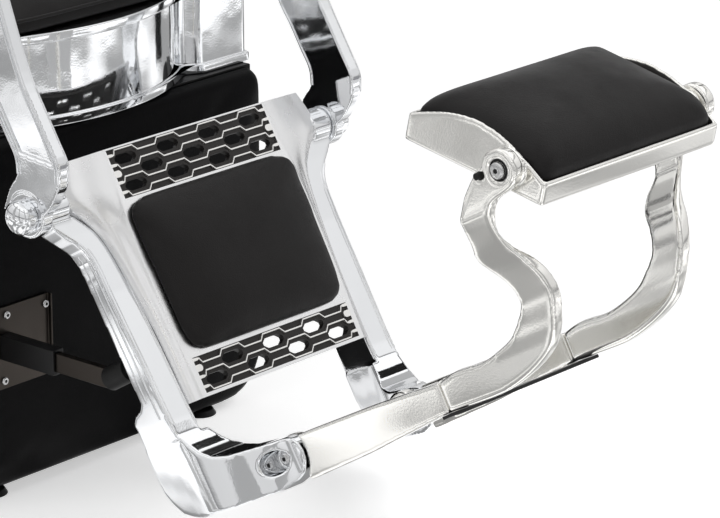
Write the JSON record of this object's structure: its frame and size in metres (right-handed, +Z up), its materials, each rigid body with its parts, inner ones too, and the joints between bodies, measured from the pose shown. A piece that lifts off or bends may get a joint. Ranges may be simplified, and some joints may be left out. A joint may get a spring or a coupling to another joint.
{
  "type": "salon backwash unit",
  "caption": "Black upholstered wash chair with a rear basin on a cabinet; a chrome-railed leg rest swings at the front and carries a flip-over footrest on curved arms.",
  "frame": {"origin": "on the floor, under the middle of the whole unit's bounding box", "axes": "+Z up, +X to the sitter's left, -Y the way the sitter faces; the leg rest reaches out to -Y, the basin stands at +Y"},
  "size_m": [0.6, 1.9802, 1.0789],
  "materials": {
    "chrome": "polished",
    "polished_aluminium": "polished",
    "satin_silver": "satin",
    "grille_silver": "satin",
    "black_leather": "satin",
    "black_board": "satin",
    "plywood": "matte",
    "black_plastic": "matte",
    "black_steel": "satin",
    "bracket_steel": "satin",
    "black_rubber": "matte",
    "steel": "satin",
    "grey_plastic": "matte",
    "ceramic": "glazed ceramic, gloss"
  },
  "bodies": {
    "base": {"plinth_case": "black_board", "plinth_panel": "black_leather", "plinth_feet": "black_plastic", "rear_cabinet": "black_board", "door_pin": "steel", "waste_pipe": "grey_plastic", "stop_bracket": "bracket_steel", "stop_sleeve": "black_steel", "stop_bar": "bracket_steel", "stop_buffer": "black_rubber", "bracket_bolts": "steel", "seat_band": "chrome", "seat_board": "plywood", "seat_cushion": "black_leather", "arm_frame_left": "chrome", "arm_frame_right": "chrome", "arm_pad_left": "black_leather", "arm_pad_right": "black_leather", "hinge_pin_left": "chrome", "hinge_pin_right": "chrome", "back_shell": "black_board", "back_cushion": "black_leather", "back_bracket_left": "black_steel", "back_bracket_right": "black_steel", "basin_stand": "black_steel", "tilt_pin": "steel"},
    "leg_rest": {"leg_rail_left": "chrome", "leg_rail_right": "chrome", "leg_plate": "satin_silver", "upper_grille": "grille_silver", "lower_grille": "grille_silver", "leg_pad": "black_leather", "ear_bolt_left": "steel", "ear_bolt_right": "steel"},
    "foot_frame": {"foot_bar_left": "polished_aluminium", "foot_bar_right": "polished_aluminium", "s_arm_left": "polished_aluminium", "s_arm_right": "polished_aluminium", "tread_plate": "black_steel", "rubber_stop_left": "black_rubber", "rubber_stop_right": "black_rubber", "eye_bolt_left": "steel", "eye_bolt_right": "steel"},
    "foot_head": {"foot_tray": "polished_aluminium", "foot_pad": "black_leather"},
    "basin_unit": {"basin": "ceramic", "neck_rest": "black_rubber", "basin_waste": "chrome", "tap_body": "chrome"},
    "spout": {"tap_spout": "chrome"},
    "lever": {"tap_lever": "chrome"},
    "door": {"cabinet_door": "black_board", "door_knob": "chrome"}
  },
  "joints": [
    {"name": "leg_lift", "type": "hinge", "parent": "base", "child": "leg_rest", "pos_m": [0, -0.30385, 0.412], "axis": [-1, 0, 0], "range_deg": [0, 55]},
    {"name": "foot_fold", "type": "hinge", "parent": "leg_rest", "child": "foot_frame", "pos_m": [0, -0.581, 0.1352], "axis": [-1, 0, 0], "range_deg": [-20, 15]},
    {"name": "foot_flip", "type": "hinge", "parent": "foot_frame", "child": "foot_head", "pos_m": [0, -0.94371, 0.57408], "axis": [1, 0, 0], "range_deg": [0, 180]},
    {"name": "basin_tilt", "type": "hinge", "parent": "base", "child": "basin_unit", "pos_m": [0, 0.72615, 0.747], "axis": [1, 0, 0], "range_deg": [-8, 4]},
    {"name": "spout_turn", "type": "hinge", "parent": "basin_unit", "child": "spout", "pos_m": [0.172, 0.88082, 0.97575], "axis": [0, -0.1392, 0.9903], "range_deg": [-60, 60]},
    {"name": "lever_turn", "type": "hinge", "parent": "basin_unit", "child": "lever", "pos_m": [0.172, 0.88082, 0.97575], "axis": [0, -0.1392, 0.9903], "range_deg": [-45, 45]},
    {"name": "door_swing", "type": "hinge", "parent": "base", "child": "door", "pos_m": [-0.24115, 0.9553, 0.35], "axis": [0, 0, 1], "range_deg": [0, 110]}
  ]
}
